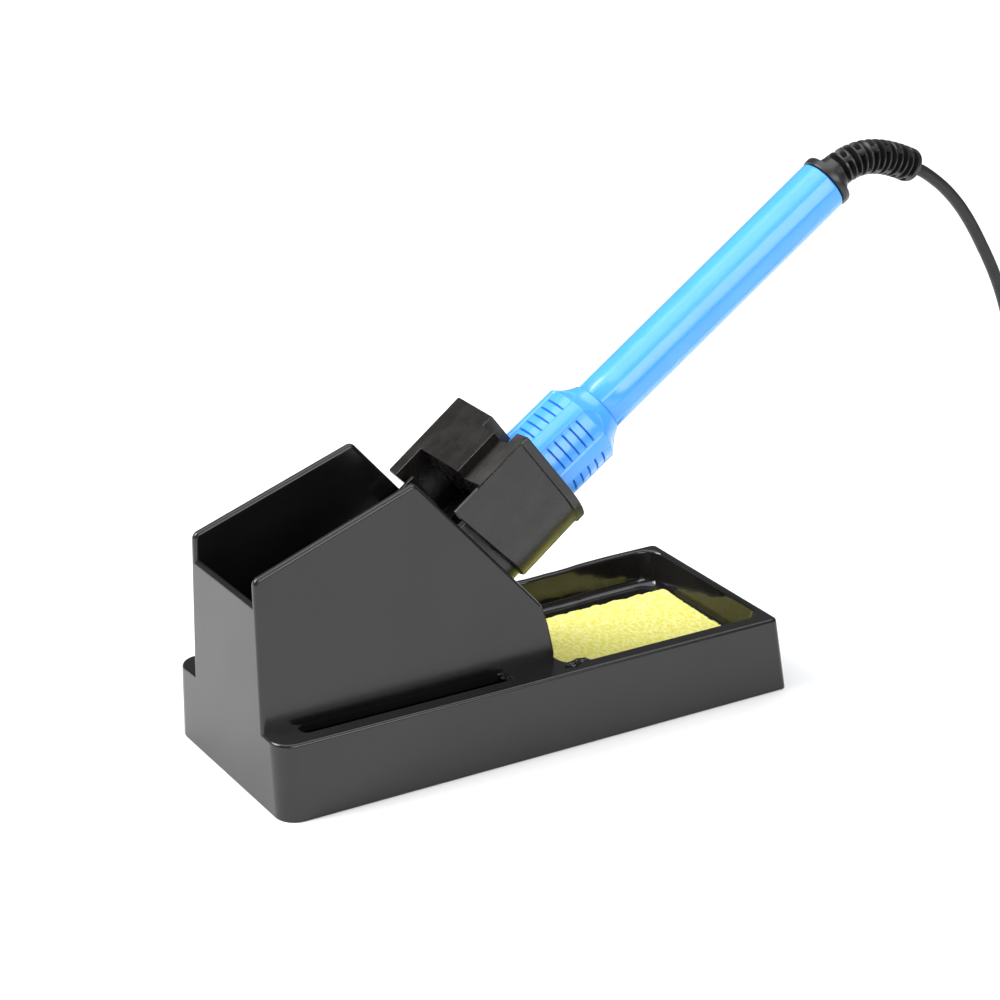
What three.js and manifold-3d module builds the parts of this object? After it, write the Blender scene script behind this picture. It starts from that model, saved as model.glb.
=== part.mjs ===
// Bench stand for a soldering iron: a moulded base with a sponge tray and a tip guard, a cradle block
// on the guard's slope, and the pencil iron that rests in the cradle with its lead and plug.
// Millimetres, +Z up. The origin is the middle of the flat underside; +X runs to the sponge tray.
import * as THREE from "three";
import { mergeVertices } from "three/addons/utils/BufferGeometryUtils.js";
import Module from "manifold-3d";

const wasm = await Module();
wasm.setup();

const DEG = Math.PI / 180;
const GAP = 0.3; // clearance between touching pieces
const PAST = 2; // how far a cutter runs past the face that it opens

// ---- driving dimensions ----
const BASE = {
  length: 190, width: 78, height: 25.5,
  corner: 7, rightCorner: 3.5, draft: 2.8, farDraft: 0.6, leftDraft: 0.3, rim: 1.3,
};
const DECK = 2.7; // thickness of the deck and of the guard's walls
const PLATE = { thick: 2, margin: 2.8, corner: 5 };
const TRAY = {
  left: 12, right: 89.5, near: -30.5, far: 35.6,
  floor: 13.5, thick: 2.2, draft: 2.2, corner: 6.5,
};
const SLOT = { left: -83, right: -9, near: -30.5, far: -25, bottom: 15 };
const MID_Y = -0.5; // the guard, the cradle and the iron share this upright plane
const GUARD = { back: -94.7, half: 25.3, draft: 0.037, wall: 3, rearTop: 67, foot: 24.5 };
const SLOPE = { top: [-38.3, 95.6], bottom: [6.9, 44.7] }; // the guard walls' sloping edge, X and Z
const SPONGE = { left: 21, right: 86.6, near: -27.6, far: 22.5, thick: 2.6, corner: 6 };
const CRADLE = {
  x: -24.6, z: 83.1, angle: 37.6, // top rear corner, and the rise of the top face in degrees
  length: 30.2, half: 21.6, straight: 26.2,
  flange: 3.3, proud: 0.7,
  tongue: 9, tongueHalf: 14.4, tongueStraight: 33.2, rearSlant: 5.9,
};
const POCKET = { long: 12, near: -20.3, far: 16.4, tongueSide: 12.6, tongueLong: 3.5, deep: 24 };
const CHANNEL = { near: -21.3, far: -7.2, deep: 3.9 }; // a ramp from the near edge to an upright far wall
const MOUTH = { near: -13, far: 0, deep: 15 }; // notch in the cradle's front flange
const BORE = { collar: 15.2, barrel: 11.5 };
const RAIL = { thick: 3.5, top: 33, bottom: 48 }; // bar between the guard walls that carries the cradle
const IRON = { x: 11.22, z: 77.28, angle: 35.2 }; // the collar's front face, and the iron's rise in degrees
const COLLAR = { length: 37.2, radius: 14.65, bore: 8.5, shoulder: 7 };
const GRIP = {
  panels: 6, firstPanel: 4.8, // degrees round the iron's axis
  slots: 5, lastSlot: 10.9, pitch: 3.3, wide: 8.6, high: 0.9, deep: 1.2,
};
const HANDLE = { radius: 9.15, inner: 7, spigot: 8.2, spigotInner: 5.5, end: 145.8, facets: 20 };
const BARREL = { radius: 4.75, inner: 3.7, front: -58, back: 12 };
const SHIELD = { radius: 12, thick: 1.1 };
const TIP = { radius: 3.1, back: -40, shoulder: -69, point: -78 };
const END_RING = { radius: 9.5, length: 3.2, hole: 5.4 };
const RELIEF = { radius: 5.85, neck: 5.1 };
const CORD = { diameter: 4.2, sides: 10 };
const COIL = { x: 278.5, middle: 23.1, columns: 4, rows: 2 };
const PLUG = { x: 240, length: 35, wide: 26, high: 13.6, axisZ: 6.9 };
const PIN = { radius: 2, length: 19, pitch: 19 };

// Centre line of the strain relief in the plane Y = MID_Y, as X and Z.
const RELIEF_LINE = [
  [131.2, 162.1], [135.6, 165.2], [141.3, 167.5], [147, 168.3],
  [152.6, 167.8], [158, 166.4], [163, 164.5], [167.5, 162.4],
];
// The lead from the strain relief down to the bench, as X and Z in the same plane.
const CORD_LINE = [
  [167.9, 162.2], [173.7, 159.2], [181.6, 153.4], [188.7, 146.5], [195.1, 138.4],
  [201.2, 129], [206.5, 120], [211, 110.8], [214.8, 101], [217.9, 91],
  [220.4, 81], [222.4, 71], [224.1, 61], [225.8, 51.5], [227.9, 42],
  [231, 32], [235.6, 22.5], [241.8, 14], [249.4, 7.4], [257, 3.6], [262, 2.4],
];

// ---- materials ----
function material(color, roughness, metalness = 0) {
  return new THREE.MeshStandardMaterial({ color, roughness, metalness });
}
const BLACK_PLASTIC = material(0x232426, 0.38);
const PHENOLIC = material(0x2b2725, 0.45);
const BLUE_PLASTIC = material(0x3fa3f0, 0.35);
const RUBBER = material(0x1d1d1e, 0.75);
const LEAD = material(0x262627, 0.55);
const STEEL = material(0xb8bbbf, 0.3, 1);
const DARK_STEEL = material(0x55585c, 0.4, 1);
const PLATED_TIP = material(0x9a8f84, 0.35, 1);
const CERAMIC = material(0xe8e2d4, 0.6);
const SPONGE_YELLOW = material(0xe6e25a, 0.95);
const BRASS = material(0xc9a54e, 0.3, 1);

// ---- solids ----
function solid(geometry) {
  geometry.deleteAttribute("normal");
  geometry.deleteAttribute("uv");
  const merged = mergeVertices(geometry, 1e-4);
  return new wasm.Manifold(new wasm.Mesh({
    numProp: 3,
    vertProperties: merged.attributes.position.array,
    triVerts: new Uint32Array(merged.index.array),
  }));
}

function geometryOf(manifold) {
  const mesh = manifold.getMesh();
  const geometry = new THREE.BufferGeometry();
  geometry.setAttribute("position", new THREE.BufferAttribute(mesh.vertProperties, 3));
  geometry.setIndex(new THREE.BufferAttribute(mesh.triVerts, 1));
  return geometry;
}

function cut(body, ...tools) {
  return tools.reduce((left, tool) => left.subtract(tool), body);
}

function join(body, ...others) {
  return others.reduce((whole, other) => whole.add(other), body);
}

function block(x0, x1, y0, y1, z0, z1) {
  const geometry = new THREE.BoxGeometry(x1 - x0, y1 - y0, z1 - z0);
  return solid(geometry.translate((x0 + x1) / 2, (y0 + y1) / 2, (z0 + z1) / 2));
}

// r rounds the left corners, and right the right ones.
function roundedRectangle(x0, x1, y0, y1, r, right = r) {
  const shape = new THREE.Shape();
  shape.absarc(x1 - right, y0 + right, right, -90 * DEG, 0);
  shape.absarc(x1 - right, y1 - right, right, 0, 90 * DEG);
  shape.absarc(x0 + r, y1 - r, r, 90 * DEG, 180 * DEG);
  shape.absarc(x0 + r, y0 + r, r, 180 * DEG, 270 * DEG);
  return shape;
}

// A shape in the XY plane raised from z0 to z1; steps of it can then be drawn in.
function raised(shape, z0, z1, steps = 1, curveSegments = 5) {
  const options = { depth: z1 - z0, bevelEnabled: false, steps, curveSegments };
  return new THREE.ExtrudeGeometry(shape, options).translate(0, 0, z0);
}

// Moves every vertex of a geometry by a rule (x, y, z) => [x, y, z].
function moved(geometry, rule) {
  const at = geometry.attributes.position;
  for (let i = 0; i < at.count; i++) {
    at.setXYZ(i, ...rule(at.getX(i), at.getY(i), at.getZ(i)));
  }
  return geometry;
}

// An outline of [x, z] points, carried along Y from y0 to y1.
function sideProfile(points, y0, y1) {
  const shape = new THREE.Shape(points.map(([x, z]) => new THREE.Vector2(x, z)));
  const geometry = new THREE.ExtrudeGeometry(shape, { depth: y1 - y0, bevelEnabled: false });
  return geometry.rotateX(90 * DEG).translate(0, y1, 0);
}

// A closed profile of [radius, z] points, turned about Z, with its faces outwards.
function turnedSolid(points, segments) {
  const area = points.reduce((sum, [r, z], i) => {
    const [r2, z2] = points[(i + 1) % points.length];
    return sum + r * z2 - r2 * z;
  }, 0);
  const ring = area > 0 ? points : [...points].reverse();
  const profile = [...ring, ring[0]].map(([r, z]) => new THREE.Vector2(r, z));
  return solid(new THREE.LatheGeometry(profile, segments).rotateX(90 * DEG));
}

function rod(radius, z0, z1, segments = 20) {
  return turnedSolid([[0, z0], [radius, z0], [radius, z1], [0, z1]], segments);
}

function pipe(inner, outer, z0, z1, segments) {
  return turnedSolid([[inner, z0], [outer, z0], [outer, z1], [inner, z1]], segments);
}

function shift(manifold, x, y, z) {
  return manifold.translate([x, y, z]);
}

// A round tube along points, as an extruded circle.
function tube(points, radius, sides, steps) {
  const circle = new THREE.Shape();
  circle.absarc(0, 0, radius, 0, 360 * DEG);
  const spots = points.map((point) => new THREE.Vector3(...point));
  const extrudePath = new THREE.CatmullRomCurve3(spots, false, "centripetal");
  const options = { steps, extrudePath, bevelEnabled: false, curveSegments: sides / 2 };
  return new THREE.ExtrudeGeometry(circle, options);
}

function node(name, manifoldOrGeometry, look) {
  const geometry = manifoldOrGeometry.isBufferGeometry ? manifoldOrGeometry : geometryOf(manifoldOrGeometry);
  geometry.computeVertexNormals();
  const mesh = new THREE.Mesh(geometry, look);
  mesh.name = name;
  return mesh;
}

// ---- base moulding ----
function skirt() {
  const halfX = BASE.length / 2;
  const halfY = BASE.width / 2;
  const outline = roundedRectangle(-halfX, halfX, -halfY, halfY, BASE.corner, BASE.rightCorner);
  const layers = [0, BASE.height - BASE.rim, BASE.height];
  return solid(moved(raised(outline, 0, 2, 2), (x, y, layer) => {
    const z = layers[Math.round(layer)];
    const rim = z === BASE.height ? BASE.rim : 0;
    const insetX = (x > 0 ? BASE.draft * z / BASE.height : BASE.leftDraft) + rim;
    const insetY = (y > 0 ? BASE.farDraft : BASE.draft) * z / BASE.height + rim;
    return [x * (halfX - insetX) / halfX, y * (halfY - insetY) / halfY, z];
  }));
}

function trayRecess() {
  const midX = (TRAY.left + TRAY.right) / 2;
  const midY = (TRAY.near + TRAY.far) / 2;
  const halfX = (TRAY.right - TRAY.left) / 2;
  const halfY = (TRAY.far - TRAY.near) / 2;
  const outline = roundedRectangle(TRAY.left, TRAY.right, TRAY.near, TRAY.far, TRAY.corner);
  return solid(moved(raised(outline, TRAY.floor, BASE.height + PAST), (x, y, z) => {
    const inset = z < BASE.height ? TRAY.draft : 0;
    return [
      midX + (x - midX) * (halfX - inset) / halfX,
      midY + (y - midY) * (halfY - inset) / halfY,
      z,
    ];
  }));
}

function deckSlot() {
  const corner = (SLOT.far - SLOT.near) / 2 - 0.1;
  const outline = roundedRectangle(SLOT.left, SLOT.right, SLOT.near, SLOT.far, corner);
  return solid(raised(outline, SLOT.bottom, BASE.height + PAST));
}

function plateOutline(extra) {
  const x = BASE.length / 2 - PLATE.margin + extra;
  const y = BASE.width / 2 - PLATE.margin + extra;
  return roundedRectangle(-x, x, -y, y, PLATE.corner);
}

// The half-width of the guard's outside face, which leans in as it rises.
function guardHalf(z) {
  return GUARD.half - GUARD.draft * z;
}

// Leans the faces of a solid that is centred on MID_Y in with height, as a mould draft.
function leaned(geometry, half) {
  return moved(geometry, (x, y, z) => [x, MID_Y + (y - MID_Y) * (half - GUARD.draft * z) / half, z]);
}

// One guard wall's outline, X and Z, with its rounded upper corners.
const WALL_OUTLINE = [
  [GUARD.back, GUARD.foot], [11.1, GUARD.foot], [11.2, 28.2], [9.2, 37.6], SLOPE.bottom,
  [SLOPE.top[0] + 1.2, SLOPE.top[1] - 1.4], [SLOPE.top[0] - 0.4, SLOPE.top[1] - 0.1],
  [SLOPE.top[0] - 1.9, SLOPE.top[1] - 0.6], [-62, 87.5], [-92.6, 76.6], [-94.2, 75.5], [GUARD.back, 73.8],
];

function guardWalls() {
  const outer = solid(leaned(sideProfile(WALL_OUTLINE, MID_Y - GUARD.half, MID_Y + GUARD.half), GUARD.half));
  const inside = GUARD.half - GUARD.wall;
  const room = solid(leaned(sideProfile(
    [[-100, GUARD.foot - PAST], [20, GUARD.foot - PAST], [20, 110], [-100, 110]],
    MID_Y - inside, MID_Y + inside,
  ), inside));
  return outer.subtract(room);
}

function guardEnds() {
  const inside = GUARD.half - GUARD.wall + 0.4;
  const { back, foot, rearTop } = GUARD;
  const rear = [[back, foot], [back + DECK, foot], [back + DECK, rearTop], [back, rearTop]];
  const front = [
    [8.2, foot], [11, foot], [10.9, 28.2], [8.9, 37.4],
    [7.3, 42], [4.8, 41.4], [6.3, 37], [8.2, 28],
  ];
  return [rear, front].map((outline) => (
    solid(leaned(sideProfile(outline, MID_Y - inside, MID_Y + inside), inside))
  ));
}

// The cradle's own frame: x down and square to its top face, y as the stand's, z up along the top face.
function toCradle(object) {
  object.rotation.y = (90 - CRADLE.angle) * DEG;
  object.position.set(CRADLE.x, MID_Y, CRADLE.z);
  object.updateMatrix();
  return object;
}
const CRADLE_FRAME = toCradle(new THREE.Group()).matrix;

function carrierRail() {
  const half = guardHalf(45) - GUARD.wall + 0.5;
  const back = -CRADLE.tongue - GAP - RAIL.thick;
  const bar = new THREE.BoxGeometry(RAIL.bottom - RAIL.top, 2 * half, RAIL.thick);
  bar.translate((RAIL.top + RAIL.bottom) / 2, 0, back + RAIL.thick / 2);
  return solid(bar.applyMatrix4(CRADLE_FRAME));
}

const CRADLE_SCREWS = [-7.5, 7.5];
const CRADLE_SCREW_DEPTH = 39.2;

function railHoles() {
  return CRADLE_SCREWS.map((y) => {
    const hole = geometryOf(rod(1.75, -20, 0, 14).translate([CRADLE_SCREW_DEPTH, y, 0]));
    return solid(hole.applyMatrix4(CRADLE_FRAME));
  });
}

const PLATE_SCREWS = [[-60, -16], [-60, 16], [60, -16], [60, 16]];
const FEET = [[-80, -24], [-80, 24], [80, -24], [80, 24]];

function undersideRooms() {
  const halfY = BASE.width / 2 - 5.4;
  const room = (x0, x1, ceiling) => (
    solid(raised(roundedRectangle(x0, x1, -halfY, halfY, 5), -PAST, ceiling))
  );
  return [
    room(-91.6, 7.6, BASE.height - DECK),
    room(11.6, 90, TRAY.floor - TRAY.thick),
    solid(raised(plateOutline(0), -PAST, PLATE.thick + GAP)),
  ];
}

function plateBosses() {
  return PLATE_SCREWS.map(([x, y]) => {
    const top = x < 0 ? BASE.height - DECK + 0.5 : TRAY.floor - TRAY.thick + 0.5;
    const boss = rod(4, PLATE.thick + GAP, top, 18);
    return shift(boss.subtract(rod(1.6, 0, 10.5, 14)), x, y, 0);
  });
}

function baseMoulding() {
  const walls = join(guardWalls(), ...guardEnds(), carrierRail());
  const shell = cut(join(skirt(), walls), ...undersideRooms(), trayRecess(), deckSlot(), ...railHoles());
  return join(shell, ...plateBosses());
}

// ---- underside ----
function bottomPlate() {
  const sheet = solid(raised(plateOutline(-GAP), 0, PLATE.thick));
  const screwHoles = PLATE_SCREWS.map(([x, y]) => (
    shift(turnedSolid([[0, -1], [4.2, -1], [2, 1.2], [2, 3], [0, 3]], 18), x, y, 0)
  ));
  const footHoles = FEET.map(([x, y]) => shift(rod(6.3, -1, 3, 18), x, y, 0));
  return cut(sheet, ...screwHoles, ...footHoles);
}

function plateScrew() {
  return turnedSolid([[0, 0.1], [2.75, 0.1], [1.3, 1.6], [1.3, 9.5], [0, 9.5]], 16);
}

function foot() {
  const neck = 6;
  const head = 7.8;
  const up = PLATE.thick + GAP;
  return turnedSolid([[0, 0], [neck, 0], [neck, up], [head, up], [head, up + 1.4], [0, up + 1.4]], 18);
}

function sponge() {
  const outline = roundedRectangle(SPONGE.left, SPONGE.right, SPONGE.near, SPONGE.far, SPONGE.corner);
  return raised(outline, TRAY.floor + GAP, TRAY.floor + GAP + SPONGE.thick);
}

// ---- cradle block, in its own frame ----
function cradleSection(half, straight = CRADLE.straight) {
  const shape = new THREE.Shape();
  shape.moveTo(0, -half);
  shape.lineTo(straight, -half);
  shape.absarc(straight, 0, half, -90 * DEG, 90 * DEG);
  shape.lineTo(0, half);
  return shape;
}

function cradleBlock() {
  const end = CRADLE.length + CRADLE.flange;
  const body = solid(raised(cradleSection(CRADLE.half), 0, CRADLE.length + 1, 1, 16));
  const flange = solid(raised(cradleSection(CRADLE.half + CRADLE.proud), CRADLE.length, end, 1, 16));
  const tongueTop = 3;
  const tongueSection = cradleSection(CRADLE.tongueHalf, CRADLE.tongueStraight);
  const tongue = solid(raised(tongueSection, -CRADLE.tongue, 8, 1, 16));
  const depth = CRADLE.straight + CRADLE.half + 1;
  const wedgeSide = new THREE.Shape([[-1, -1], [depth, -1], [depth, CRADLE.rearSlant], [0, 0], [-1, 0]]
    .map(([x, z]) => new THREE.Vector2(x, z)));
  const wedge = new THREE.ExtrudeGeometry(wedgeSide, { depth: 60, bevelEnabled: false });
  const rearCut = solid(wedge.rotateX(90 * DEG).translate(0, 30, 0));
  const tongueCap = block(-1, tongueTop, -30, 30, -CRADLE.tongue - 1, -0.01);
  const pocket = block(-5, POCKET.deep, POCKET.near, POCKET.far, 0, POCKET.long);
  const tongueRooms = [
    block(-5, POCKET.deep, -POCKET.tongueSide, POCKET.tongueSide, -20, POCKET.long),
    block(-5, POCKET.deep, POCKET.near, POCKET.far, POCKET.tongueLong, POCKET.long),
  ];
  const casing = join(cut(body, rearCut, pocket), flange);
  const outside = join(casing, cut(tongue, tongueCap, ...tongueRooms));

  const boreTilt = (CRADLE.angle - IRON.angle) * DEG;
  const seat = cradlePoint(IRON.x, IRON.z);
  const straightBores = [rod(BORE.collar, -SHIELD.thick - 2 * GAP, 40, 40), rod(BORE.barrel, -70, 10, 32)];
  const bores = straightBores.map((bore) => (
    solid(geometryOf(bore).rotateY(boreTilt).translate(seat.x, 0, seat.z))
  ));
  const channel = solid(raised(new THREE.Shape([
    [-5, CHANNEL.near], [0, CHANNEL.near], [CHANNEL.deep, CHANNEL.far], [-5, CHANNEL.far],
  ].map(([x, y]) => new THREE.Vector2(x, y))), POCKET.long - 1, end + PAST));
  const mouth = block(-5, MOUTH.deep, MOUTH.near, MOUTH.far, CRADLE.length - 1, end + PAST);
  const screwHoles = CRADLE_SCREWS.map((y) => shift(rod(1.6, -20, 4.5, 14), CRADLE_SCREW_DEPTH, y, 0));
  return cut(outside, ...bores, channel, mouth, ...screwHoles);
}

// A point of the upright middle plane in the cradle's frame.
function cradlePoint(x, z) {
  const point = new THREE.Vector3(x, MID_Y, z);
  return point.applyMatrix4(CRADLE_FRAME.clone().invert());
}

function cradleScrew() {
  const seat = -CRADLE.tongue - GAP - RAIL.thick - GAP;
  return turnedSolid([
    [0, seat - 2], [2.4, seat - 2], [2.8, seat - 1.2], [2.8, seat],
    [1.25, seat], [1.25, 3.5], [0, 3.5],
  ], 16);
}

// ---- iron, along its own Z from the collar's front face ----
function gripCollar() {
  const back = COLLAR.length;
  const sleeve = turnedSolid([
    [COLLAR.bore, 0], [12.8, 0], [COLLAR.radius, 2.2],
    [COLLAR.radius, back - COLLAR.shoulder], [HANDLE.radius + 0.6, back], [COLLAR.bore, back],
  ], 36);
  const slots = [];
  for (let panel = 0; panel < GRIP.panels; panel++) {
    for (let slot = 0; slot < GRIP.slots; slot++) {
      const z = back - GRIP.lastSlot - slot * GRIP.pitch;
      const cutter = new THREE.BoxGeometry(2 * GRIP.deep, GRIP.wide, GRIP.high);
      const turn = (GRIP.firstPanel + panel * 360 / GRIP.panels) * DEG;
      slots.push(solid(cutter.translate(COLLAR.radius, 0, z).rotateZ(turn)));
    }
  }
  return cut(sleeve, ...slots);
}

function handleShell() {
  const step = COLLAR.length + GAP;
  return turnedSolid([
    [HANDLE.spigotInner, 0.4], [HANDLE.spigot, 0.4], [HANDLE.spigot, step], [HANDLE.radius, step],
    [HANDLE.radius, HANDLE.end], [HANDLE.inner, HANDLE.end], [HANDLE.inner, step + 3],
    [HANDLE.spigotInner, step],
  ], HANDLE.facets);
}

function tip() {
  return turnedSolid([
    [0, TIP.back], [TIP.radius, TIP.back], [TIP.radius, TIP.shoulder], [0.5, TIP.point], [0, TIP.point],
  ], 20);
}

function barrel() {
  const sleeve = pipe(BARREL.inner, BARREL.radius, BARREL.front, BARREL.back, 24);
  const hole = geometryOf(rod(1.8, 0, 8, 12)).rotateX(90 * DEG);
  return sleeve.subtract(solid(hole.translate(0, 0, BARREL.front + 5)));
}

function tipScrew() {
  const screw = geometryOf(turnedSolid([
    [0, 3.45], [1.4, 3.45], [1.4, 5.1], [2.3, 5.1], [2.3, 7], [0, 7],
  ], 14));
  return screw.rotateX(90 * DEG).translate(0, 0, BARREL.front + 5);
}

function terminalBlock() {
  const body = solid(new THREE.BoxGeometry(8.4, 8.4, 16).translate(0, 0, 68));
  const holes = [-2, 2].map((y) => shift(rod(1.3, 55, 80, 12), 0, y, 0));
  return cut(body, ...holes);
}

function cordClamp() {
  const body = solid(new THREE.BoxGeometry(7, 9.6, 6).translate(0, 0, 132));
  return body.subtract(rod(2.4, 125, 140, 14));
}

function strainReliefRoot() {
  const front = HANDLE.end - 3.2;
  const back = HANDLE.end + END_RING.length + 1;
  const flange = { radius: HANDLE.inner - GAP, back: HANDLE.end - GAP };
  return turnedSolid([
    [0, front], [flange.radius, front], [flange.radius, flange.back],
    [RELIEF.neck, flange.back], [RELIEF.neck, back], [0, back],
  ], 24);
}

function inMiddlePlane(points) {
  return points.map(([x, z]) => [x, MID_Y, z]);
}

function ironFrame(object) {
  object.rotation.y = (90 - IRON.angle) * DEG;
  object.position.set(IRON.x, MID_Y, IRON.z);
  object.updateMatrix();
  return object;
}
const IRON_FRAME = ironFrame(new THREE.Group()).matrix;

// The relief is one moulding: a root inside the handle, and a bent body outside, in the stand's frame.
function strainRelief() {
  const root = solid(geometryOf(strainReliefRoot()).applyMatrix4(IRON_FRAME));
  const ends = new THREE.Vector3(0, 0, HANDLE.end + END_RING.length + GAP).applyMatrix4(IRON_FRAME);
  const line = [[ends.x, ends.z], ...RELIEF_LINE.slice(1)];
  return root.add(solid(tube(inMiddlePlane(line), RELIEF.radius, 14, 12)));
}

// ---- lead, coil, tie and plug ----
const OUTER_TURN = COIL.middle + (COIL.columns - 1) / 2 * CORD.diameter;
const COIL_Y = MID_Y - OUTER_TURN;
const COIL_HALF = COIL.columns / 2 * CORD.diameter + 0.2;
const COIL_TOP = COIL.rows * CORD.diameter + 0.3;

function coilRing() {
  const chamfer = 1.5;
  const bottom = 0.1;
  const [inner, outer] = [COIL.middle - COIL_HALF, COIL.middle + COIL_HALF];
  const ring = turnedSolid([
    [inner + chamfer, bottom], [outer - chamfer, bottom], [outer, bottom + chamfer],
    [outer, COIL_TOP - chamfer], [outer - chamfer, COIL_TOP],
    [inner + chamfer, COIL_TOP], [inner, COIL_TOP - chamfer], [inner, bottom + chamfer],
  ], 40);
  return shift(ring, COIL.x, COIL_Y, 0);
}

// A flat band round the bundle at the coil's far right.
function coilTie() {
  const thick = 0.9;
  const width = 9;
  const half = COIL_HALF + GAP + thick;
  const roomHalf = COIL_HALF + GAP + 0.4;
  const outer = block(-half, half, -width / 2, width / 2, 0, COIL_TOP + GAP + thick);
  const room = block(-roomHalf, roomHalf, -width, width, -PAST, COIL_TOP + GAP);
  return shift(outer.subtract(room), COIL.x + COIL.middle, COIL_Y, 0);
}

const TAIL_Y = COIL_Y - OUTER_TURN;
const TAIL_LINE = [[262, TAIL_Y, 6.5], [256, TAIL_Y, 6.1], [250, TAIL_Y, 6.3], [246.5, TAIL_Y, 6.7]];

function plugBody() {
  const { x, length, wide, high, axisZ } = PLUG;
  const front = x - length;
  const outline = new THREE.Shape([
    [x + 6, -3.4], [x + 6, 3.4], [x, 4.2], [x - 7, wide / 2 - 2], [x - 12, wide / 2], [front, wide / 2],
    [front, -wide / 2], [x - 12, -wide / 2], [x - 7, -wide / 2 + 2], [x, -4.2],
  ].map(([px, py]) => new THREE.Vector2(px, py)));
  const slab = raised(outline, 0.1, axisZ + high / 2 - 0.1);
  return solid(slab.translate(0, TAIL_Y, 0));
}

function plugPin(side) {
  const { radius, length, pitch } = PIN;
  const profile = [[0, GAP], [radius, GAP], [radius, length - 1.2], [radius - 1, length], [0, length]];
  const pin = turnedSolid(profile, 14);
  const geometry = geometryOf(pin).rotateY(-90 * DEG);
  return geometry.translate(PLUG.x - PLUG.length, TAIL_Y + side * pitch / 2, PLUG.axisZ);
}

// ---- assembly ----
const stand = new THREE.Group();
stand.add(node("base_moulding", baseMoulding(), BLACK_PLASTIC));
stand.add(node("bottom_plate", bottomPlate(), DARK_STEEL));
stand.add(node("cleaning_sponge", sponge(), SPONGE_YELLOW));
FEET.forEach(([x, y], i) => {
  const pad = node(`rubber_foot_${i + 1}`, foot(), RUBBER);
  pad.position.set(x, y, 0);
  stand.add(pad);
});
PLATE_SCREWS.forEach(([x, y], i) => {
  const screw = node(`plate_screw_${i + 1}`, plateScrew(), DARK_STEEL);
  screw.position.set(x, y, 0);
  stand.add(screw);
});

const cradle = toCradle(new THREE.Group());
cradle.add(node("cradle_block", cradleBlock(), PHENOLIC));
CRADLE_SCREWS.forEach((y, i) => {
  const screw = node(`cradle_screw_${i + 1}`, cradleScrew(), STEEL);
  screw.position.set(CRADLE_SCREW_DEPTH, y, 0);
  cradle.add(screw);
});

const iron = ironFrame(new THREE.Group());
iron.add(node("soldering_tip", tip(), PLATED_TIP));
iron.add(node("tip_screw", tipScrew(), STEEL));
iron.add(node("barrel_tube", barrel(), STEEL));
iron.add(node("heater_core", rod(3.2, TIP.back + 1.5, 8, 16), CERAMIC));
const shield = pipe(BARREL.radius + GAP, SHIELD.radius, -SHIELD.thick - GAP, -GAP, 24);
iron.add(node("heat_shield", shield, DARK_STEEL));
iron.add(node("grip_collar", gripCollar(), BLUE_PLASTIC));
iron.add(node("handle_shell", handleShell(), BLUE_PLASTIC));
iron.add(node("terminal_block", terminalBlock(), CERAMIC));
iron.add(node("cord_clamp", cordClamp(), BLACK_PLASTIC));
iron.add(node(
  "handle_end_ring",
  pipe(END_RING.hole, END_RING.radius, HANDLE.end + GAP, HANDLE.end + END_RING.length, 28),
  RUBBER,
));

const lead = new THREE.Group();
lead.add(node("strain_relief", strainRelief(), RUBBER));
lead.add(node("lead_drop", tube(inMiddlePlane(CORD_LINE), CORD.diameter / 2, CORD.sides, 20), LEAD));
lead.add(node("lead_coil", coilRing(), LEAD));
lead.add(node("coil_tie", coilTie(), RUBBER));
lead.add(node("lead_tail", tube(TAIL_LINE, CORD.diameter / 2, CORD.sides, 3), LEAD));
lead.add(node("plug_body", plugBody(), RUBBER));
lead.add(node("plug_pin_near", plugPin(-1), BRASS));
lead.add(node("plug_pin_far", plugPin(1), BRASS));

const part = new THREE.Group();
part.add(stand, cradle, iron, lead);

export default part;
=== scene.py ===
"""Looks for the soldering iron stand: finished surfaces, materials, lead, light and camera."""

import math

import bmesh
import bpy
from mathutils import Matrix, Vector, noise


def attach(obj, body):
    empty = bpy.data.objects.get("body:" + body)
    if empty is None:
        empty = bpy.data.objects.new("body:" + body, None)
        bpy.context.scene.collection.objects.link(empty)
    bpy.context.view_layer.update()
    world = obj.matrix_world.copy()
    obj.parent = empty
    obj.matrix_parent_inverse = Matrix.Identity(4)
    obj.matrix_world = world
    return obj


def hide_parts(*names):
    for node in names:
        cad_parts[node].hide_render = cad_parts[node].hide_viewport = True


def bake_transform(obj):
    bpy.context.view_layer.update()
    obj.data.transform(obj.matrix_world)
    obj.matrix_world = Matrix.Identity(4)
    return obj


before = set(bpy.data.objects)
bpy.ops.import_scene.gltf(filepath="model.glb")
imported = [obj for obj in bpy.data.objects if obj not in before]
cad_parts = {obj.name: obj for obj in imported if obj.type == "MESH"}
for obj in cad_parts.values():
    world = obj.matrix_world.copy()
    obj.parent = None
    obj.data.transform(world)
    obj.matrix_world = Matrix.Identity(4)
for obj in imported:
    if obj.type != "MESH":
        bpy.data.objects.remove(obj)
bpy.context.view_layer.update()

# ---- driving dimensions, in millimetres, as in the CAD ----
MM = 0.001
FULL_TURN = 2 * math.pi
BASE = {
    "length": 190, "width": 78, "height": 25.5,
    "corner": 7, "right_corner": 2.2, "draft": 2.8, "far_draft": 0.6, "left": 0.3, "rim": 1.1,
}
DECK = 2.7
ROOMS = {"wall": 5.4, "guard": (-91.6, 7.6), "tray": (11.6, 90), "corner": 5, "tray_floor": 2.2}
PLATE = {"inset": 2.8, "corner": 5, "top": 2.3}
BOSS = {"x": 60, "y": 16, "radius": 4, "hole": 1.6, "hole_top": 10.5}
TRAY = {"left": 12, "right": 89.5, "near": -30.5, "far": 35.6, "floor": 13.5, "corner": 6.5, "draft": 2.2}
SLOT = {"left": -83, "right": -9, "near": -30.5, "far": -25, "bottom": 15, "corner": 2.4}
MID_Y = -0.5
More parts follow.
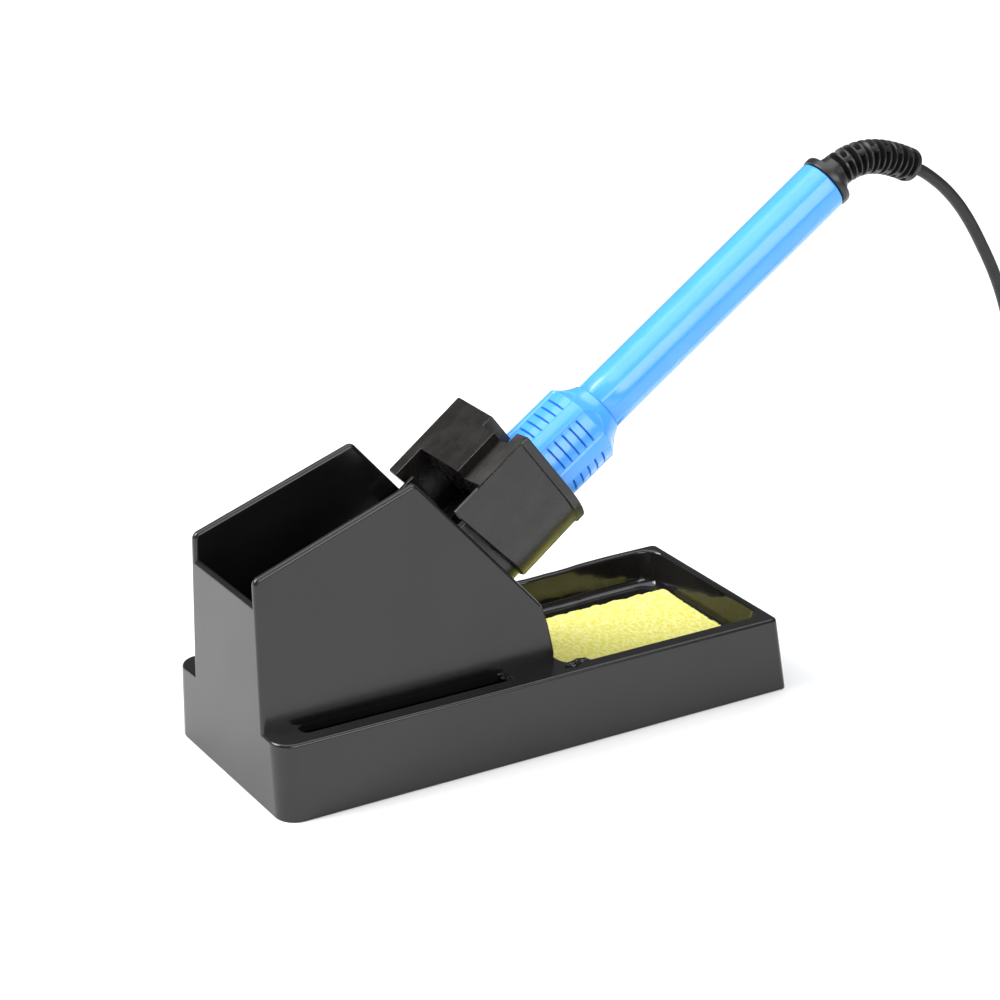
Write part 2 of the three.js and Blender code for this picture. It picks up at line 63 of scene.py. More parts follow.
GUARD = {"half": 25.3, "lean": 0.037, "wall": 3, "rim": 1.35, "back": -94.7, "rear_top": 67, "foot": 20}
SPONGE = {"left": 21, "right": 87, "near": -27.6, "far": 23.4, "bottom": 13.8, "top": 16.4}
CRADLE = {
    "x": -24.6, "z": 83.1, "rise": 37.6, "length": 30.2, "half": 21.6, "straight": 26.2,
    "flange": 3.3, "proud": 0.7, "rear_slant": 5.9,
    "tongue": 9, "tongue_half": 14.4, "tongue_straight": 33.2, "tongue_top": 3,
}
POCKET = {
    "long": 12, "near": -20.3, "far": 16.4, "deep": 24,
    "tongue_side": 12.6, "tongue_long": 3.5, "step_long": 4, "step_deep": 11,
}
CHANNEL = {"start": 11, "near": -21.4, "far": -7.2, "deep": 3.9, "mouth": 15, "mouth_near": -13}
RAIL = {"top": 33, "bottom": 48, "half": 21, "back": -12.8, "thick": 3.5}
BORE = {"grip": 15.2, "seat": -1.7, "barrel": 11.5}
PAST = 5  # how far a cutting shape reaches past the surface that it opens
IRON = {"x": 11.22, "z": 77.28, "rise": 35.2}
COLLAR = {
    "length": 37.2, "radius": 14.65, "bore": 8.5, "shoulder": 7,
    "panels": 6, "panel_half": 5.5, "panel_deep": 0.42, "arch": 8.9,
    "slots": 5, "last_slot": 10.9, "pitch": 3.3, "slot_half": 4.7, "slot_thin": 0.36, "slot_deep": 1.7,
}
HANDLE = {"radius": 9.15, "inner": 7, "end": 145.8, "facets": 12, "flatness": 0.38}
PANEL_ANGLE = 4.8  # degrees round the iron's axis to the middle of the first grip panel and facet
END_RING = {"radius": 9.5, "length": 3.2, "hole": 5.4}
RELIEF = {"radius": 5.85, "pitch": 2.45, "deep": 2.8, "neck_end": 5.2, "cap": 1.9}
BARREL = {"front": -58, "back": 12, "radius": 4.75, "hole": 3.7, "grooves": (-9.5, -30, -50)}
SHIELD = {"hole": 5.05, "radius": 12, "low": -1.4, "high": -0.3}
LEAD = {"diameter": 4.2, "length": 1.32, "sides": 14}
COIL = {"x": 278.5, "rows": (2.15, 6.45), "columns": (29.4, 25.2, 21.0, 16.8), "turns": 7.5}
TAIL_Y = MID_Y - 2 * COIL["columns"][0]
PLUG = {
    "back": 246, "front": 205, "wide": 26, "high": 13.4, "axis": 6.9, "shoulder": 25,
    "pin": 2, "pin_long": 19, "pin_nose": 1.6, "pitch": 19,
}
STRAP = {"half": 8.9, "top": 9.9, "thick": 0.9, "wide": 9, "outer_corner": 3, "inner_corner": 2.2}

# As in the CAD: the strain relief's bend and the lead's drop (X and Z at Y = MID_Y), and its short tail.
RELIEF_LINE = [
    (135.6, 165.2), (141.3, 167.5), (147, 168.3), (152.6, 167.8), (158, 166.4), (163, 164.5), (167.5, 162.4),
]
CORD_LINE = [
    (167.9, 162.2), (173.7, 159.2), (181.6, 153.4), (188.7, 146.5), (195.1, 138.4),
    (201.2, 129), (206.5, 120), (211, 110.8), (214.8, 101), (217.9, 91),
    (220.4, 81), (222.4, 71), (224.1, 61), (225.8, 51.5), (227.9, 42),
    (231, 32), (235.6, 22.5), (241.8, 14), (249.4, 7.4), (257, 3.6), (262, 2.4),
]
TAIL_LINE = [(262, TAIL_Y, 6.5), (256, TAIL_Y, 6.1), (250, TAIL_Y, 6.3), (246.5, TAIL_Y, 6.7)]


def moved(x, y, z):
    """The matrix of a local frame at a point in millimetres."""
    return Matrix.Translation(Vector((x, y, z)) * MM)


def tilted_frame(place):
    """The matrix of a local frame whose Z rises by place["rise"] degrees towards +X."""
    tilt = Matrix.Rotation(math.radians(90 - place["rise"]), 4, "Y")
    return moved(place["x"], MID_Y, place["z"]) @ tilt


STAND_FRAME = Matrix.Identity(4)
CRADLE_FRAME = tilted_frame(CRADLE)
IRON_FRAME = tilted_frame(IRON)


# ---- materials ----
def shader_of(look):
    return look.node_tree.nodes["Principled BSDF"]


def new_look(name, color, roughness, metallic=0.0, **sockets):
    look = bpy.data.materials.new(name)
    look.use_nodes = True
    settings = {"Base_Color": (*color, 1), "Roughness": roughness, "Metallic": metallic, **sockets}
    for socket, value in settings.items():
        shader_of(look).inputs[socket.replace("_", " ")].default_value = value
    return look


def add_node(look, kind, **inputs):
    made = look.node_tree.nodes.new(kind)
    for socket, value in inputs.items():
        made.inputs[socket.replace("_", " ")].default_value = value
    return made


def join_nodes(look, source, target):
    look.node_tree.links.new(source, target)


def own_coordinates(look, stretch=(1, 1, 1)):
    """The piece's own coordinates, stretched along its axes."""
    coordinates = add_node(look, "ShaderNodeTexCoord")
    mapping = add_node(look, "ShaderNodeMapping", Scale=stretch)
    join_nodes(look, coordinates.outputs["Object"], mapping.inputs["Vector"])
    return mapping.outputs["Vector"]


def mottle(look, per_metre, detail=4.0, roughness=0.55, stretch=(1, 1, 1)):
    """Soft noise, 0 to 1, with about per_metre cells to the metre."""
    texture = add_node(look, "ShaderNodeTexNoise", Scale=per_metre, Detail=detail, Roughness=roughness)
    join_nodes(look, own_coordinates(look, stretch), texture.inputs["Vector"])
    return texture.outputs["Fac"]


def cells(look, per_metre):
    """Round cells, 0 at their middles, with about per_metre of them to the metre."""
    texture = add_node(look, "ShaderNodeTexVoronoi", Scale=per_metre)
    join_nodes(look, own_coordinates(look), texture.inputs["Vector"])
    return texture.outputs["Distance"]


def ranged(look, value, low, high, start=0.3, end=0.7):
    """value from start to end, turned into low to high."""
    scale = add_node(look, "ShaderNodeMapRange")
    for socket, number in zip(("From Min", "From Max", "To Min", "To Max"), (start, end, low, high)):
        scale.inputs[socket].default_value = number
    join_nodes(look, value, scale.inputs["Value"])
    return scale.outputs["Result"]


def vary_roughness(look, value, low, high, start=0.3, end=0.7):
    join_nodes(look, ranged(look, value, low, high, start, end), shader_of(look).inputs["Roughness"])


def vary_color(look, value, first, second, start=0.3, end=0.7):
    mix = add_node(look, "ShaderNodeMix")
    mix.data_type = "RGBA"
    color_in = [socket for socket in mix.inputs if socket.type == "RGBA"]
    color_in[0].default_value = (*first, 1)
    color_in[1].default_value = (*second, 1)
    join_nodes(look, ranged(look, value, 0, 1, start, end), mix.inputs[0])
    color_out = next(socket for socket in mix.outputs if socket.type == "RGBA")
    join_nodes(look, color_out, shader_of(look).inputs["Base Color"])


def add_bump(look, value, depth, strength=1.0):
    """Small relief; depth in metres. A second call lies on top of the first."""
    bump = add_node(look, "ShaderNodeBump", Distance=depth, Strength=strength)
    normal = shader_of(look).inputs["Normal"]
    if normal.links:
        join_nodes(look, normal.links[0].from_socket, bump.inputs["Normal"])
    join_nodes(look, value, bump.inputs["Height"])
    join_nodes(look, bump.outputs["Normal"], normal)


def moulded_black():
    look = new_look("moulded_black", (0.0065, 0.0066, 0.007), 0.24)
    vary_color(look, mottle(look, 30), (0.005, 0.005, 0.0053), (0.008, 0.0081, 0.0085))
    vary_roughness(look, mottle(look, 45, detail=6), 0.17, 0.27)
    add_bump(look, mottle(look, 2600, detail=2), 0.00004, 0.35)
    return look


def glossy_black():
    look = new_look("glossy_black", (0.008, 0.0075, 0.007), 0.1)
    vary_roughness(look, mottle(look, 60, detail=5), 0.05, 0.16)
    vary_color(look, mottle(look, 40), (0.006, 0.0056, 0.0052), (0.011, 0.0105, 0.010))
    add_bump(look, mottle(look, 90, detail=2), 0.0006, 0.3)
    return look


def phenolic(name, dark, light):
    look = new_look(name, dark, 0.28)
    vary_color(look, mottle(look, 90, detail=8, roughness=0.7), dark, light)
    vary_roughness(look, mottle(look, 140, detail=7), 0.2, 0.36)
    add_bump(look, mottle(look, 3200, detail=3), 0.00006, 0.5)
    return look


def blue_plastic():
    look = new_look(
        "blue_plastic", (0.066, 0.345, 0.93), 0.2, Subsurface_Weight=0.12, Subsurface_Scale=0.004,
        Coat_Weight=0.25, Coat_Roughness=0.12,
    )
    vary_color(look, mottle(look, 50, detail=3), (0.062, 0.335, 0.92), (0.072, 0.36, 0.94))
    vary_roughness(look, mottle(look, 35, detail=5, stretch=(3, 3, 0.6)), 0.16, 0.30)
    add_bump(look, mottle(look, 220, detail=2, stretch=(1, 1, 0.15)), 0.00012, 0.3)
    return look


def soft_rubber(name, color, low, high):
    look = new_look(name, color, (low + high) / 2)
    lighter = tuple(channel * 1.6 for channel in color)
    vary_color(look, mottle(look, 120, detail=6), color, lighter)
    vary_roughness(look, mottle(look, 200, detail=5), low, high)
    add_bump(look, mottle(look, 2400, detail=3), 0.00005, 0.5)
    return look


def sponge_foam():
    look = new_look(
        "sponge_foam", (0.90, 0.86, 0.24), 0.95, Subsurface_Weight=0.15, Subsurface_Scale=0.002,
        Sheen_Weight=0.2, Sheen_Roughness=0.5,
    )
    flecks = mottle(look, 800, detail=9, roughness=0.8, stretch=(1, 0.55, 1))
    vary_color(look, flecks, (0.78, 0.71, 0.03), (0.97, 0.94, 0.36), 0.42, 0.58)
    add_bump(look, mottle(look, 1200, detail=6, roughness=0.75), 0.0007, 1.0)
    add_bump(look, cells(look, 1500), 0.0003, 0.6)
    return look


def brushed_metal(name, color, low, high, along=(1, 1, 0.05)):
    look = new_look(name, color, (low + high) / 2, metallic=1.0)
    darker = tuple(channel * 0.8 for channel in color)
    vary_color(look, mottle(look, 150, detail=5), darker, color)
    vary_roughness(look, mottle(look, 900, detail=4, stretch=along), low, high)
    add_bump(look, mottle(look, 1800, detail=2, stretch=along), 0.00002, 0.4)
    return look


def heated_metal():
    """A barrel that heat has tinted straw and blue towards the tip."""
    look = brushed_metal("heated_metal", (0.55, 0.53, 0.50), 0.25, 0.42)
    tint = mottle(look, 28, detail=3, stretch=(0.3, 0.3, 1))
    vary_color(look, tint, (0.42, 0.33, 0.22), (0.50, 0.50, 0.54))
    return look


def fired_ceramic():
    look = new_look("fired_ceramic", (0.78, 0.73, 0.63), 0.6)
    vary_color(look, mottle(look, 180, detail=6), (0.70, 0.64, 0.53), (0.84, 0.80, 0.71))
    vary_roughness(look, mottle(look, 240), 0.5, 0.75)
    add_bump(look, mottle(look, 1600, detail=4), 0.00006, 0.5)
    return look


LOOKS = {
    "black": moulded_black(),
    "gloss": glossy_black(),
    "phenolic": phenolic("phenolic", (0.0045, 0.0038, 0.0034), (0.012, 0.0108, 0.0100)),
    # painted highlight: a lighter phenolic that stands in for the light caught on the cradle channel's ramp
    "ramp_highlight": phenolic("phenolic_painted_highlight", (0.018, 0.0168, 0.0158), (0.048, 0.0455, 0.0435)),
    "blue": blue_plastic(),
    "rubber": soft_rubber("relief_rubber", (0.009, 0.009, 0.0095), 0.26, 0.4),
    "lead": soft_rubber("lead_sheath", (0.0055, 0.0055, 0.006), 0.46, 0.6),
    "strap": soft_rubber("strap_rubber", (0.02, 0.02, 0.021), 0.6, 0.8),
    "sponge": sponge_foam(),
    "steel": brushed_metal("turned_steel", (0.62, 0.62, 0.63), 0.22, 0.38),
    "dark_steel": brushed_metal("dark_steel", (0.20, 0.205, 0.215), 0.3, 0.5, along=(0.05, 1, 1)),
    "heated": heated_metal(),
    "tip": brushed_metal("plated_tip", (0.33, 0.29, 0.26), 0.3, 0.5),
    "ceramic": fired_ceramic(),
    "brass": brushed_metal("pin_brass", (0.72, 0.52, 0.22), 0.18, 0.32),
}


# ---- mesh tools ----
def new_object(name, data):
    made = bpy.data.objects.new(name, data)
    bpy.context.scene.collection.objects.link(made)
    return made


def finish_mesh(mesh, look, sharp_degrees=38):
    mesh.materials.clear()
    mesh.materials.append(look)
    mesh.shade_smooth()
    mesh.set_sharp_from_angle(angle=math.radians(sharp_degrees))


def make_piece(name, verts, faces, look, place=STAND_FRAME, sharp_degrees=38):
    """A closed mesh from points in millimetres, with its faces turned outwards."""
    mesh = bpy.data.meshes.new(name)
    mesh.from_pydata([Vector(v) * MM for v in verts], [], faces)
    sheet = bmesh.new()
    sheet.from_mesh(mesh)
    bmesh.ops.remove_doubles(sheet, verts=sheet.verts, dist=1e-7)
    bmesh.ops.recalc_face_normals(sheet, faces=sheet.faces)
    sheet.to_mesh(mesh)
    sheet.free()
    finish_mesh(mesh, look, sharp_degrees)
    piece = new_object(name, mesh)
    piece.matrix_world = place
    return piece


def skin(rings, pairs):
    """Points of rings with one point count, and the faces between each pair of ring numbers."""
    count = len(rings[0])
    faces = []
    for low, high in ((a * count, b * count) for a, b in pairs):
        for i in range(count):
            after = (i + 1) % count
            faces.append((low + i, low + after, high + after, high + i))
    return [point for ring in rings for point in ring], faces


def loft(rings):
    """A skin over rings, closed at both ends."""
    count, last = len(rings[0]), len(rings) - 1
    verts, faces = skin(rings, [(r, r + 1) for r in range(last)])
    return verts, [tuple(reversed(range(count))), *faces, tuple(range(last * count, last * count + count))]


def hoop(rings):
    """A skin whose last ring joins the first, so nothing is capped."""
    return skin(rings, [(r, (r + 1) % len(rings)) for r in range(len(rings))])


def turned(profile, segments=72, closed=False):
    """A profile of (radius, z) turned about Z. A closed profile makes a ring."""
    rings = [
        [(r * math.cos(a), r * math.sin(a), z) for a in (FULL_TURN * i / segments for i in range(segments))]
        for r, z in profile
    ]
    return hoop(rings) if closed else loft(rings)


def apply_modifiers(piece):
    depsgraph = bpy.context.evaluated_depsgraph_get()
    piece.data = bpy.data.meshes.new_from_object(piece.evaluated_get(depsgraph))
    piece.modifiers.clear()


def apply_and_finish(piece):
    look = piece.data.materials[0]
    apply_modifiers(piece)
    finish_mesh(piece.data, look)


def steady_shading(piece):
    """Large flat faces keep their own shading beside rounded edges."""
    step = piece.modifiers.new("shading", "WEIGHTED_NORMAL")
    step.weight = 100
    step.keep_sharp = True
    apply_modifiers(piece)


def boolean(piece, operation, tools):
    for tool in tools:
        step = piece.modifiers.new("cut", "BOOLEAN")
        step.operation = operation
        step.solver = "MANIFOLD"
        step.object = tool
    apply_and_finish(piece)
    for tool in tools:
        bpy.data.objects.remove(tool)


def merge_flat_faces(piece):
    """Joins the slivers that cutting leaves, so that bevels come out even."""
    mesh = bmesh.new()
    mesh.from_mesh(piece.data)
    bmesh.ops.remove_doubles(mesh, verts=mesh.verts, dist=0.02 * MM)
    bmesh.ops.dissolve_limit(mesh, angle_limit=math.radians(0.6), verts=mesh.verts, edges=mesh.edges)
    mesh.to_mesh(piece.data)
    mesh.free()


def soften_edges(piece, width, over_degrees=42, segments=2):
    step = piece.modifiers.new("soften", "BEVEL")
    step.width = width * MM
    step.segments = segments
    step.limit_method = "ANGLE"
    step.angle_limit = math.radians(over_degrees)
    step.use_clamp_overlap = False
    apply_and_finish(piece)


def smoothstep(t):
    t = min(max(t, 0.0), 1.0)
    return t * t * (3 - 2 * t)


def arc_points(cx, cy, r, start, end, steps):
    """Points on an arc, angles in degrees."""
    angles = (math.radians(start + (end - start) * i / steps) for i in range(steps + 1))
    return [(cx + r * math.cos(a), cy + r * math.sin(a)) for a in angles]


def rounded_rectangle(x0, x1, y0, y1, r, steps=6, right=None):
    """A rectangle's outline; r rounds its corners, or only the left ones if right is given."""
    right = r if right is None else right
    return (
        arc_points(x1 - right, y0 + right, right, -90, 0, steps)
        + arc_points(x1 - right, y1 - right, right, 0, 90, steps)
        + arc_points(x0 + r, y1 - r, r, 90, 180, steps) + arc_points(x0 + r, y0 + r, r, 180, 270, steps)
    )


def rounded_corners(corners, inset=0.0, steps=6):
    """A convex outline, counter-clockwise, from (x, y, radius) corners, drawn in by inset."""
    count = len(corners)
    sides = []
    for i, (x, y, _) in enumerate(corners):
        nx, ny, _ = corners[(i + 1) % count]
        along = Vector((nx - x, ny - y)).normalized()
        inward = Vector((-along.y, along.x))
        sides.append((Vector((x, y)) + inward * inset, along))
    outline = []
    for i, (_, _, radius) in enumerate(corners):
        (p, before), (q, after) = sides[i - 1], sides[i]
        turn = before.cross(after)
        corner = p + before * ((q - p).cross(after) / turn)
        half = math.atan2(turn, before.dot(after)) / 2
        r = max(radius - inset, 0.05)
        centre = corner + Vector((-after.y, after.x)) * r + after * (r * math.tan(half))
        start = math.degrees(math.atan2(-before.x, before.y))
        outline += arc_points(centre.x, centre.y, r, start, start + math.degrees(2 * half), steps)
    return outline


def cutter(outline, z0, z1, place=STAND_FRAME):
    walls = loft([[(x, y, z) for x, y in outline] for z in (z0, z1)])
    return make_piece("cutter", *walls, LOOKS["black"], place)


def box_cutter(x0, x1, y0, y1, z0, z1, place=STAND_FRAME):
    return cutter([(x0, y0), (x1, y0), (x1, y1), (x0, y1)], z0, z1, place)


def smooth_line(points, step):
    """A smooth curve through the points, resampled about step apart."""
    points = [Vector(p) for p in points]
    ends = [2 * points[0] - points[1], *points, 2 * points[-1] - points[-2]]
    fine = []
    for a, b, c, d in zip(ends, ends[1:], ends[2:], ends[3:]):
        square, cube = 2 * a - 5 * b + 4 * c - d, 3 * b - a - 3 * c + d
        for t in (i / 12 for i in range(12)):
            fine.append(0.5 * (2 * b + (c - a) * t + square * t**2 + cube * t**3))
    fine.append(points[-1])
    total = sum((b - a).length for a, b in zip(fine, fine[1:]))
    count = max(2, round(total / step))
    spaced, walked, target = [fine[0]], 0.0, total / count
    for a, b in zip(fine, fine[1:]):
        gap = (b - a).length
        while walked + gap >= target - 1e-9 and len(spaced) < count:
            spaced.append(a.lerp(b, (target - walked) / gap))
            target += total / count
        walked += gap
    return [*spaced, fine[-1]]


def line_length(points):
    return sum((Vector(b) - Vector(a)).length for a, b in zip(points, points[1:]))


def swept(line, radius_at, sides):
    """A tube along a line of points. radius_at(distance, angle) gives its section."""
    rings, side, walked = [], None, 0.0
    for i, point in enumerate(line):
        along = (line[min(i + 1, len(line) - 1)] - line[max(i - 1, 0)]).normalized()
        if side is None:
            side = along.cross(Vector((0, 1, 0))).normalized()
        side = (side - along * side.dot(along)).normalized()
        other = along.cross(side)
        if i:
            walked += (point - line[i - 1]).length
        ring = []
        for k in range(sides):
            angle = FULL_TURN * k / sides
            r = radius_at(walked, angle)
            ring.append(point + side * (r * math.cos(angle)) + other * (r * math.sin(angle)))
        rings.append(ring)
    return loft(rings)


def place_piece(piece, body, node):
    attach(piece, body)
    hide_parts(node)
    return piece


# ---- camera ----
def add_camera():
    data = bpy.data.cameras.new("camera")
    data.lens = 102.01
    data.sensor_width = 36
    data.clip_end = 40
    camera = new_object("camera", data)
    camera.location = (-0.43184, -0.72979, 0.41879)
    camera.rotation_euler = (math.radians(67.922), 0, math.radians(-30.916))
    bpy.context.scene.camera = camera


# ---- lead ----
def coil_points():
    """The coil's turns, clockwise from its far side: inwards on the bottom row, outwards on the top row."""
    columns = [*COIL["columns"], *reversed(COIL["columns"])]
    rows = [COIL["rows"][0]] * 4 + [COIL["rows"][1]] * 4
    centre_y = MID_Y - COIL["columns"][0]
    per_turn = 24
    points = []
    for i in range(int(COIL["turns"] * per_turn) + 1):
        turn, part = divmod(i / per_turn, 1)
        here, after = int(turn), min(int(turn) + 1, len(columns) - 1)
        into = smoothstep((part - 0.6) / 0.4)  # the lead moves over late in each turn
        radius = columns[here] + (columns[after] - columns[here]) * into
        angle = math.radians(90) - FULL_TURN * i / per_turn
        points.append((
            COIL["x"] + radius * math.cos(angle),
            centre_y + radius * math.sin(angle),
            rows[here] + (rows[after] - rows[here]) * into,
        ))
    return points


def add_lead():
    drop = [(x, MID_Y, z) for x, z in CORD_LINE]
    line = smooth_line([*drop, *coil_points(), *TAIL_LINE], 1.6)
    radius = LEAD["diameter"] / 2
    cable = swept(line, lambda distance, angle: radius, LEAD["sides"])
    lead = make_piece("lead", *cable, LOOKS["lead"], sharp_degrees=80)
    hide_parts("lead_drop", "lead_coil", "lead_tail")
    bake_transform(lead)
    pieces = [add_strap(), add_plug(), add_pin(-1), add_pin(1)]


def add_strap():
    """A strap over the bundle at the coil's far right, with rounded shoulders."""
    middle = COIL["x"] + (COIL["columns"][0] + COIL["columns"][-1]) / 2
    half, top, thick, wide = STRAP["half"], STRAP["top"], STRAP["thick"], STRAP["wide"]
    centre_y = MID_Y - COIL["columns"][0]

    def arch(half, top, r):
        return [
            (-half, 0.0), *arc_points(-half + r, top - r, r, 180, 90, 8),
            *arc_points(half - r, top - r, r, 90, 0, 8), (half, 0.0),
        ]

    outer = arch(half + thick, top, STRAP["outer_corner"])
    inner = arch(half, top - thick, STRAP["inner_corner"])
    # shares of the strap's thickness and width, with the edges drawn in
    near_edge = [(0, -0.5), (0.15, -0.47), (0.85, -0.47), (1, -0.5)]
    section = near_edge + [(share, -y) for share, y in reversed(near_edge)]
    rings = [
        [
            (middle + x0 + (x1 - x0) * share, centre_y + y * wide, z0 + (z1 - z0) * share)
            for share, y in section
        ]
        for (x0, z0), (x1, z1) in zip(outer, inner)
    ]
    strap = make_piece("coil_strap", *loft(rings), LOOKS["strap"])
    return place_piece(strap, "stand", "coil_tie")


def add_plug():
    """A flat two-pin plug that narrows to its lead."""
    front, back = PLUG["front"], PLUG["back"]
    wide, high = PLUG["wide"] / 2, PLUG["high"] / 2
    shoulder, neck = front + PLUG["shoulder"], back - 3
    sections = [  # x and share of the full size
        (front, 0.90), (front + 0.35, 0.965), (front + 1.1, 1.0), (shoulder - 3, 1.0), (shoulder, 0.985),
    ]
    rings = [(x, wide * size, high * size) for x, size in sections]
    for t in (i / 8 for i in range(1, 9)):
        x, fade = shoulder + (neck - shoulder) * t, smoothstep(t)
        rings.append((x, wide + (3.4 - wide) * fade, high + (3.3 - high) * fade))
    rings += [(back - 0.6, 3.3, 3.2), (back - 0.1, 2.9, 2.9)]
    loops = []
    for x, half_y, half_z in rings:
        corner = min(half_y, half_z) * 0.62
        outline = rounded_rectangle(-half_y, half_y, -half_z, half_z, corner, 6)
        loops.append([(x, TAIL_Y + y, PLUG["axis"] + z) for y, z in outline])
    plug = make_piece("plug", *loft(loops), LOOKS["rubber"], sharp_degrees=50)
    return place_piece(plug, "stand", "plug_body")


def add_pin(side):
    r, long, nose = PLUG["pin"], PLUG["pin_long"], PLUG["pin_nose"]
    profile = [(0.01, 0.3), (r, 0.3), (r, long - nose)]
    profile += [(r * math.cos(a), long - nose + nose * math.sin(a)) for a in (0.3, 0.6, 0.9, 1.2, 1.45)]
    profile += [(0.01, long)]
    name = "near" if side < 0 else "far"
    root = moved(PLUG["front"], TAIL_Y + side * PLUG["pitch"] / 2, PLUG["axis"])
    place = root @ Matrix.Rotation(-math.pi / 2, 4, "Y")
    pin = make_piece(f"pin_{name}", *turned(profile, 36), LOOKS["brass"], place)
    return place_piece(pin, "stand", f"plug_pin_{name}")


# ---- base moulding ----
def far_side_pulled(outline, share):
    """The far side of an outline, with more points, drawn in beside the guard, where heat has pulled it."""
    half = len(outline) // 2
    (xa, y), (xb, _) = outline[half - 1], outline[half]
    between = [(xa + (xb - xa) * i / 40, y) for i in range(1, 40)]
    pulled = []
    for x, y in outline[:half] + between + outline[half:]:
        # a broad sag behind the guard and the tray's near half, and small waves along the tray
        sag = 2.0 * smoothstep((74 - x) / 36) * smoothstep((x + 30) / 40)
        wave = 0.9 * noise.noise(Vector((x * 0.09, 3.3, 0)))
        wave *= smoothstep((70 - x) / 14) * smoothstep((x - 8) / 10)
        pulled.append((x, y - share * (sag + wave) if y > 0 else y))
    return pulled


def drafted(inset, z):
    """The base's outline at a height, drawn in by inset."""
    rise = z / BASE["height"]
    x0 = -BASE["length"] / 2 + BASE["left"] + inset
    x1 = BASE["length"] / 2 - BASE["draft"] * rise - inset
    y0 = -BASE["width"] / 2 + BASE["draft"] * rise + inset
    y1 = BASE["width"] / 2 - BASE["far_draft"] * rise - inset
    corner, right = BASE["corner"] - inset, BASE["right_corner"] - inset
    outline = rounded_rectangle(x0, x1, y0, y1, corner, 8, right)
    return [(x, y, z) for x, y in far_side_pulled(outline, rise)]


def base_skirt():
    rim, top = BASE["rim"], BASE["height"]
    rings = [drafted(0.5, 0), drafted(0.15, 0.15), drafted(0, 0.5)]
    for i in range(7):
        angle = math.pi / 2 * i / 6
        rings.append(drafted(rim * (1 - math.cos(angle)), top - rim + rim * math.sin(angle)))
    return make_piece("stand_moulding", *loft(rings), LOOKS["black"])


def leaning(points, across, side):
    """(x, z) points carried to a guard wall; across is the distance out from MID_Y at z = 0."""
    return [(x, MID_Y + side * (across - GUARD["lean"] * z), z) for x, z in points]


def guard_wall(side):
    """One guard wall, with a full-round rim."""
    corners = [  # x, z and corner radius
        (GUARD["back"], GUARD["foot"], 0.06), (11.15, GUARD["foot"], 0.06), (11.2, 28.4, 9), (9.2, 37.8, 14),
        (6.9, 45, 5), (-38.4, 95.9, 2.6), (GUARD["back"], 75.9, 2.8),
    ]
    rim, wall = GUARD["rim"], GUARD["wall"]
    near_depths = (0, 0.12, 0.45, 0.9, rim)
    rings = []
    for depth in (*near_depths, *(wall - depth for depth in reversed(near_depths))):
        edge = min(depth, wall - depth)
        inset = rim - math.sqrt(max(rim**2 - max(rim - edge, 0) ** 2, 0))
        outline = rounded_corners(corners, inset, 7)
        rings.append(leaning(outline, GUARD["half"] - wall + depth, side))
    return make_piece("wall", *loft(rings), LOOKS["black"])


def guard_end(outline):
    """An upright panel between the guard walls, from its (x, z) outline."""
    reach = GUARD["half"] - GUARD["wall"] + 1.5
    rings = [leaning(outline, reach, side) for side in (-1, 1)]
    return make_piece("end", *loft(rings), LOOKS["black"])


def guard_ends():
    """The rear panel with its full-round top, and the front panel, which curls back at its top."""
    back, top, foot = GUARD["back"], GUARD["rear_top"], GUARD["foot"]
    rear = [(back, foot), (back + DECK, foot)]
    rear += arc_points(back + DECK / 2, top - DECK / 2, DECK / 2, 0, 180, 12)
    front = [(8.2, foot), (11, foot), (10.9, 28.2), (10.2, 33), (8.9, 37.4), (7.3, 42)]
    front += [(6.6, 42.9), (5.6, 42.9), (4.8, 41.9), (6.3, 37), (7.5, 32.5), (8.2, 28)]
    return [guard_end(rear), guard_end(front)]


def cradle_rail():
    """The rail inside the guard that the cradle block is screwed to."""
    half, back = RAIL["half"], RAIL["back"]
    return box_cutter(RAIL["top"], RAIL["bottom"], -half, half, back, back + RAIL["thick"], CRADLE_FRAME)


def tray_cutter():
    """The tray's room, with a filleted floor and a rounded lip."""
    def ring(z, inset):
        lean = TRAY["draft"] * (BASE["height"] - z) / (BASE["height"] - TRAY["floor"])
        d = inset + max(lean, 0)
        r = max(TRAY["corner"] - d * 0.5, 1)
        x0, x1, y0, y1 = (TRAY[side] for side in ("left", "right", "near", "far"))
        outline = rounded_rectangle(x0 + d, x1 - d, y0 + d, y1 - d, r, 8)
        return [(x, y, z) for x, y in far_side_pulled(outline, min(z / BASE["height"], 1))]

    fillet, lip = 2.4, 0.9
    rings = []
    for i in range(6):
        angle = math.pi / 2 * i / 5
        rings.append(ring(TRAY["floor"] + fillet * (1 - math.cos(angle)), fillet * (1 - math.sin(angle))))
    for i in range(5):
        angle = math.pi / 2 * i / 4
        rings.append(ring(BASE["height"] - lip + lip * math.sin(angle), -lip * (1 - math.cos(angle))))
    rings.append(ring(BASE["height"] + 3, -lip))
    return make_piece("tray", *loft(rings), LOOKS["black"])


def slot_cutter():
    """The deck's slot, wider at its rim."""
    top = BASE["height"]
    x0, x1, y0, y1 = (SLOT[side] for side in ("left", "right", "near", "far"))
    rings = []
    for z, grow in ((SLOT["bottom"], 0), (top - 0.6, 0), (top - 0.25, 0.12), (top, 0.45), (top + 1, 0.6)):
        outline = rounded_rectangle(x0 - grow, x1 + grow, y0 - grow, y1 + min(grow, 0.1), SLOT["corner"], 6)
        rings.append([(x, y, z) for x, y in outline])
    return make_piece("slot", *loft(rings), LOOKS["black"])


